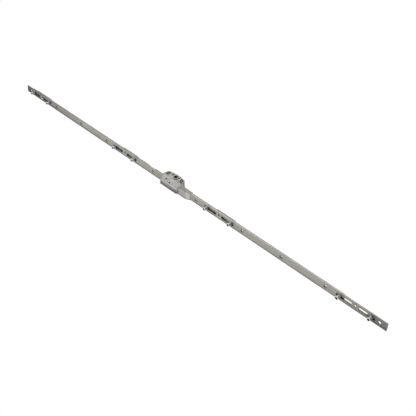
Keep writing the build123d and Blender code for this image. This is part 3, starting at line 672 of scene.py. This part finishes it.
def top_marks(finish, green, pink):
    # What lies on the flat top: bands of colour from front to back, and then single marks
    x, y, z = finish.axes()
    nz = finish.normals()[2]
    top = finish.ramp(nz, 0.75, 0.9) * finish.ramp(z, *CASE_TOP)
    green_band = top * finish.band(y, (-24.0, -21.0), (-19.0, -16.5))
    finish.base = finish.mix(green_band * 0.45, finish.base, green)
    pink_band = top * finish.band(y, (-17.0, -15.0), (-13.0, -11.0))
    finish.base = finish.mix(pink_band * 0.4, finish.base, pink)
    near_lip = top * finish.fall(y, -28.5, -25.0) * (0.2 + 0.35 * finish.ramp(x, 2.0, 12.0))
    finish.stain(near_lip, 134, 135, 132)
    front_right = top * finish.ramp(x, 24.0, 30.0) * finish.fall(y, -25.0, -21.0)
    finish.stain(front_right * 0.35, 134, 138, 132)
    pale = 0.7 * finish.spot((x, y), PALE_RIGHT, 5.0, 11.0)
    pale = pale + 0.8 * finish.spot((x, y), PALE_LEFT, 2.5, 6.0)
    finish.stain(top * pale * 0.45, 222, 232, 218)
    finish.stain(top * finish.spot((x, y), MOSS, 2.2, 4.4) * 0.9, 76, 102, 70)
    seam = top * finish.band(y, (-9.4, -8.6), (-6.0, -5.0))
    sides = 0.8 * finish.band(x, (-25.5, -23.5), (-18.0, -12.0))
    sides = sides + 0.3 * finish.band(x, (8.0, 14.0), (25.0, 27.5))
    finish.stain(seam * sides, 30, 26, 22)
    finish.stain(top * finish.spot((x, y), BROWN_MARK, 1.6, 3.4) * 0.85, 44, 38, 30)
    # Painted shade on the lid at the hub's right front
    finish.stain(top * finish.spot((x, y), SHADE_BY_HUB, 3.2, 6.0) * 0.65, 88, 86, 80)
    finish.stain(top * finish.spot((x, y), SPECK, 1.1, 2.2) * 0.9, 40, 38, 34)
    return top


# %% Case metal
def casting_finish():
    finish = Finish("cast_zinc")
    green = tone(172, 184, 164)
    pink = tone(214, 188, 190)
    peel = finish.grain(0.55, detail=3.0, rough=0.55)
    cloud = finish.grain(7.0, detail=3.0, rough=0.6, shift=2.0)
    blot = finish.grain(3.6, shift=11.0)
    finish.base = finish.mix(finish.ramp(cloud, 0.35, 0.68), tone(214, 214, 208), tone(188, 189, 183))
    finish.base = finish.mix(finish.ramp(blot, 0.52, 0.68) * 0.6, finish.base, green)
    finish.base = finish.mix(finish.fall(blot, 0.34, 0.46) * 0.55, finish.base, pink)
    top = top_marks(finish, green, pink)
    x, y, z = finish.axes()
    nx, ny, nz = finish.normals()
    # Painted shade: the front wall is darker, more towards its foot, and all faces darken near the floor
    front = finish.fall(ny, -0.8, -0.45)
    finish.stain(front * (0.78 - 0.4 * finish.ramp(z, 7.0, 10.0)), 112, 106, 97)
    finish.stain(finish.fall(z, 0.3, 8.0) * (0.6 + 0.05 * front), 80, 76, 70)
    finish.stain(finish.fall(z, 0.6, 2.4) * front * 0.85, 48, 45, 41)
    right_top = top * finish.ramp(x, 25.5, 27.0) * finish.ramp(y, -14.0, -11.0)
    finish.stain(right_top * 0.6, 132, 112, 118)
    # Painted shade on the right-facing end faces
    right = finish.ramp(nx, 0.5, 0.8)
    finish.stain(right * finish.fall(y, -19.0, -18.0) * finish.ramp(y, -30.0, -27.0) * 0.6, 84, 80, 75)
    finish.stain(right * finish.ramp(y, -19.0, -18.0) * 0.75, 100, 84, 86)
    # Painted highlight, lilac, on the rounded edge between the front wall and the top
    lilac_edge_highlight = finish.fall(ny, -0.55, -0.35) * finish.ramp(nz, 0.3, 0.5)
    finish.stain(lilac_edge_highlight * 0.75, 150, 146, 154)
    lugs = finish.fall(x, -27.4, -27.1) + finish.ramp(x, 37.1, 37.4)
    finish.stain(lugs * 0.9, 138, 135, 125)
    # Painted shade on the back faces near the top
    back_shade = finish.ramp(ny, 0.25, 0.5) * finish.ramp(z, 10.5, 11.0)
    finish.stain(back_shade * 0.8, 64, 62, 58)
    # Painted shade in the pits, the small holes and the rings round the posts
    for centre, radius, depth in PITS.values():
        pit_shade = finish.spot((x, y), centre, radius, radius + 0.15) * finish.fall(z, *PIT_MOUTH)
        finish.stain(pit_shade * depth, 34, 32, 29)
    finish.bump(peel, 0.03 * MM, 0.4)
    return finish.done(metallic=0.6, roughness=0.4 + 0.16 * cloud)


ZINC = casting_finish()
print("casting:", ZINC.name)

# %% [markdown]
# ## The follower
#
# Only the end of its hub shows, with the square socket. Its left side gets a painted highlight,
# and the socket and the hub's right side get painted shade.

# %% Follower metal
def follower_finish():
    finish = Finish("follower_zinc")
    x, y, z = finish.axes()
    nx = finish.normals()[0]
    worn = finish.grain(1.6, detail=3.0, rough=0.6)
    finish.base = finish.mix(finish.ramp(worn, 0.35, 0.65), tone(176, 177, 172), tone(138, 138, 132))
    # Painted shade in the socket, with painted light on its lit wall
    socket = finish.fall(abs(x), 3.54, 3.6) * finish.fall(abs(y), 3.54, 3.6)
    lit_wall = finish.ramp(nx, 0.5, 0.8) * finish.ramp(z, 9.6, 10.4)
    finish.stain(socket * (0.95 - 0.6 * lit_wall), 30, 27, 24)
    # Painted shade on the hub's right side
    finish.stain(finish.spot((x, y), (4.4, -2.6), 1.6, 3.6) * 0.75, 52, 49, 44)
    finish.stain(finish.spot((x, y), (4.6, 3.5), 1.4, 3.2) * 0.85, 40, 37, 33)
    # Painted highlight on the hub's left side
    finish.stain(finish.fall(x, -3.9, -3.6) * 0.4, 222, 222, 215)
    teeth = finish.ramp(finish.reach((x, y), (0.0, 0.0)), 6.8, 8.0)
    finish.stain(teeth * 0.6, 92, 84, 70)
    finish.bump(worn, 0.02 * MM, 0.4)
    return finish.done(metallic=0.6, roughness=0.38 + 0.2 * worn)


DARK_ZINC = follower_finish()
print("follower:", DARK_ZINC.name)

# %% [markdown]
# ## Turned and hardened steel
#
# Pins, racks, bushes and the spring are steel with a film of grease that gathers brown in places.
# The cams are turned from bar and polished. Their key sockets get painted shade, the grooves behind
# their heads get a little painted shade, the collars get a painted highlight, and the parts behind the
# plate get painted shade. A key socket is found by its distance from the cam's own axis, so each cam
# gets the same finish, told where its axis is.

# %% Pin, rack, spring and bush metals
def steel(name, light, shade, film):
    finish = Finish(name)
    smudge = finish.grain(1.8, detail=3.0, rough=0.6)
    scratch = finish.grain(0.2, stretch=(6, 1, 1), turn=0.6)
    finish.base = finish.mix(finish.ramp(smudge, 0.35, 0.7), light, shade)
    finish.base = finish.mix(finish.ramp(scratch, 0.6, 0.75) * 0.25, finish.base, film)
    finish.bump(scratch, 0.01 * MM, 0.35)
    return finish, smudge


def steel_finish(name, light, shade, film, metallic, rough):
    finish, smudge = steel(name, light, shade, film)
    return finish.done(metallic, rough + 0.14 * smudge)


def bush_finish():
    # A bush keeps the bright steel at its mouth, and its bore walls get painted shade
    finish, smudge = steel("bush_steel", tone(212, 210, 204), tone(184, 182, 176), tone(150, 146, 138))
    ny = finish.normals()[1]
    finish.stain(finish.fall(abs(ny), 0.1, 0.3) * 0.85, 52, 48, 42)
    return finish.done(metallic=0.7, roughness=0.34 + 0.14 * smudge)


PIN = steel_finish("pin_steel", tone(158, 157, 152), tone(130, 129, 124), tone(110, 105, 96), 0.8, 0.36)
AXLE = steel_finish("axle_steel", tone(46, 43, 39), tone(32, 30, 27), tone(28, 25, 21), 0.7, 0.4)
RACK = steel_finish("rack_steel", tone(142, 141, 139), tone(112, 111, 108), tone(92, 82, 66), 0.85, 0.38)
SPRING = steel_finish("spring_steel", tone(198, 197, 194), tone(164, 163, 160), tone(120, 112, 98), 0.9, 0.24)
BUSH = bush_finish()
print("steels:", ", ".join(m.name for m in (PIN, AXLE, RACK, SPRING, BUSH)))

# %% Cam metal, for a cam whose axis is at centre
KEY_SHADE_RADII = (2.15, 2.4)


def cam_finish(name, centre):
    finish, smudge = steel(name, tone(208, 210, 211), tone(178, 180, 182), tone(146, 147, 149))
    x, y, z = finish.axes()
    plate = PLATE_Y / MM
    tip = (PLATE_Y - PROUD) / MM
    socket_floor = tip + KEY_DEPTH / MM
    head_back = tip + HEAD_HEIGHT / MM
    collar = (PLATE_Y - LIFT - COLLAR_HEIGHT) / MM
    # Painted shade in the key socket
    key = finish.spot((x, z), (centre / MM, CENTRE_LINE), *KEY_SHADE_RADII)
    key = key * finish.fall(y, socket_floor + 0.05, socket_floor + 0.2)
    finish.stain(key * 0.9, 34, 32, 36)
    # Painted shade in the groove behind the head
    groove_shade = finish.band(y, (head_back - 0.5, head_back), (collar, collar + 0.2))
    finish.stain(groove_shade * 0.3, 96, 94, 108)
    # Painted highlight on the collar
    lit_collar = finish.band(y, (collar, collar + 0.2), (plate - 0.5, plate - 0.3))
    finish.stain(lit_collar * 0.8, 232, 233, 240)
    # Painted shade on the parts behind the plate
    finish.stain(finish.ramp(y, plate - 0.3, plate + 0.3) * 0.6, 84, 80, 78)
    return finish.done(metallic=0.75, roughness=0.26 + 0.16 * smudge)


# %% [markdown]
# ## Guide blocks
#
# The blocks behind the rods are moulded plastic. In the photograph only their top edges
# show, as bumps of an olive grey. A moulded surface is even, so it gets a fine spark-eroded
# texture and a little dust, and no metal.

# %% Moulded guide plastic
def plastic_finish():
    finish = Finish("guide_plastic")
    z = finish.axes()[2]
    spark = finish.grain(0.25)
    dirt = finish.grain(4.0, detail=3.0, rough=0.6, shift=5.0)
    finish.base = finish.mix(finish.ramp(dirt, 0.5, 0.75) * 0.5, tone(138, 135, 119), tone(156, 153, 139))
    # Painted shade below the top edge, behind the rods
    finish.stain(finish.fall(z, 12.0, 14.0) * 0.6, 66, 63, 50)
    finish.bump(spark, 0.02 * MM, 0.5)
    return finish.done(metallic=0.0, roughness=0.5 + 0.12 * dirt)


GUIDE = plastic_finish()
print("plastic:", GUIDE.name)

# %% Each finish goes to its pieces
def dress(piece, material):
    piece.data.materials.clear()
    piece.data.materials.append(material)


finishes = {
    "faceplate": RAIL, "saddle_cover": HOOD, "gearbox": ZINC, "drive_follower": DARK_ZINC,
    "rear_rod": ROD, "front_rod": ROD, "drive_rack": RACK, "front_rack": RACK, "reversing_arm": RACK,
    "idler_pinion": RACK, "idler_axle": AXLE, "case_rivets": PIN, "rail_rivets": PIN, "saddle_rivets": PIN,
    "drive_rack_rivets": PIN, "front_rack_rivets": PIN, "detent_spring": SPRING, "screw_bush": BUSH,
    "guide_block": GUIDE,
}
for name, node in nodes.items():
    if not name.startswith("cam_"):
        match = max((key for key in finishes if name.startswith(key)), key=len)
        dress(node, finishes[match])
dress(lid, ZINC)
dress(tray, ZINC)
dress(hood, HOOD)
for name, piece in cams.items():
    low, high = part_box(name)
    polish = cam_finish(f"polished_{name}", (low.x + high.x) / 2)
    dress(piece, polish)
    dress(nodes[name], polish)
print("dressed:", len(nodes) + 3 + len(cams))

# %% [markdown]
# ## The camera
#
# The photograph looks down on the bar from its front right, so steeply in perspective that the
# near end is almost twice as large as the far end. The camera's place, turn and lens were
# worked out from the faceplate's own corners, with its known width and length.

# %% Camera
AZIMUTH = math.radians(44.817)
ELEVATION = math.radians(35.122)
ROLL = math.radians(3.945)
EYE = Vector((929.2, -832.9, 813.1)) * MM
SENSOR_WIDTH = 36.0
FOCAL_LENGTH = 61.03
forward = Vector((-math.sin(AZIMUTH) * math.cos(ELEVATION),
                  math.cos(AZIMUTH) * math.cos(ELEVATION), -math.sin(ELEVATION)))
level = Vector((math.cos(AZIMUTH), math.sin(AZIMUTH), 0))
upright = level.cross(forward)
across = level * math.cos(ROLL) + upright * math.sin(ROLL)
above = upright * math.cos(ROLL) - level * math.sin(ROLL)
turn = Matrix((across, above, -forward)).transposed().to_4x4()
lens = bpy.data.cameras.new("photo_camera")
lens.sensor_width = SENSOR_WIDTH
lens.lens = FOCAL_LENGTH
lens.clip_start = 0.01
lens.clip_end = 20.0
camera = bpy.data.objects.new("photo_camera", lens)
camera.matrix_world = Matrix.Translation(EYE) @ turn
bpy.context.scene.collection.objects.link(camera)
bpy.context.scene.camera = camera
print("camera is", round(EYE.length, 3), "m from the spindle")

# %% [markdown]
# ## Floor and light
#
# The photograph's ground is pure white. More light would bleach the metal, so the whiteness is
# given to the floor and the world where the camera sees them or a reflection shows them, and the
# lamps stay low. The floor still takes a little of the object's shadow, which grounds it.

# %% White floor
FLOOR_SIZE = 12.0
FLOOR_GREY = 0.9
FLOOR_GLOW = 1.02
SHADOW_SHARE = 0.05


def white_floor():
    # White to the camera and in reflections, plain and lit to all other light
    material = bpy.data.materials.new("white_floor")
    material.use_nodes = True
    wiring = Wiring(material.node_tree)
    path = wiring.node("ShaderNodeLightPath", {}, {})
    grey = (FLOOR_GREY, FLOOR_GREY, FLOOR_GREY, 1.0)
    lit = wiring.node("ShaderNodeBsdfDiffuse", {}, {"Color": grey})["BSDF"]
    glow = wiring.node("ShaderNodeEmission", {}, {"Strength": FLOOR_GLOW})["Emission"]
    seen = path["Is Camera Ray"] + path["Is Glossy Ray"] + path["Is Transmission Ray"]
    share = seen * (1.0 - SHADOW_SHARE)
    blend = wiring.node("ShaderNodeMixShader", {}, {0: share, 1: lit, 2: glow})["Shader"]
    wiring.node("ShaderNodeOutputMaterial", {}, {"Surface": blend})
    return material


clear_selection()
bpy.ops.mesh.primitive_plane_add(size=FLOOR_SIZE, location=(0, 0, 0))
floor = bpy.context.object
floor.name = "floor"
floor.data.materials.append(white_floor())
print("floor is", floor.dimensions.x, "m wide")

# %% World light: white where the camera sees it, a dim cool room for the object
SEEN = {"Color": (1.0, 1.0, 1.0, 1.0), "Strength": 1.0}
ROOM = {"Color": (0.97, 0.98, 1.0, 1.0), "Strength": 0.42}
world = bpy.data.worlds.new("studio")
bpy.context.scene.world = world
world.use_nodes = True
sky = Wiring(world.node_tree)
sky_path = sky.node("ShaderNodeLightPath", {}, {})
seen_sky = sky.node("ShaderNodeBackground", {}, SEEN)["Background"]
room_sky = sky.node("ShaderNodeBackground", {}, ROOM)["Background"]
either = sky.node("ShaderNodeMixShader", {}, {
    0: sky_path["Is Camera Ray"], 1: room_sky, 2: seen_sky})["Shader"]
sky.node("ShaderNodeOutputWorld", {}, {"Surface": either})
print("world strength:", ROOM["Strength"])


# %% Soft lamps, both aimed at the spindle
def soft_lamp(name, place, size, power):
    data = bpy.data.lights.new(name, "AREA")
    data.shape = "RECTANGLE"
    data.size, data.size_y = size
    data.energy = power
    lamp = bpy.data.objects.new(name, data)
    lamp.location = place
    lamp.rotation_euler = (-Vector(place)).to_track_quat("-Z", "Y").to_euler()
    bpy.context.scene.collection.objects.link(lamp)


soft_lamp("key", place=(-1.2, -1.4, 1.9), size=(1.6, 1.6), power=34.0)
soft_lamp("fill", place=(0.2, 1.0, 1.9), size=(1.8, 1.2), power=14.0)

# %% View settings and the end
bpy.context.scene.view_settings.view_transform = "Standard"
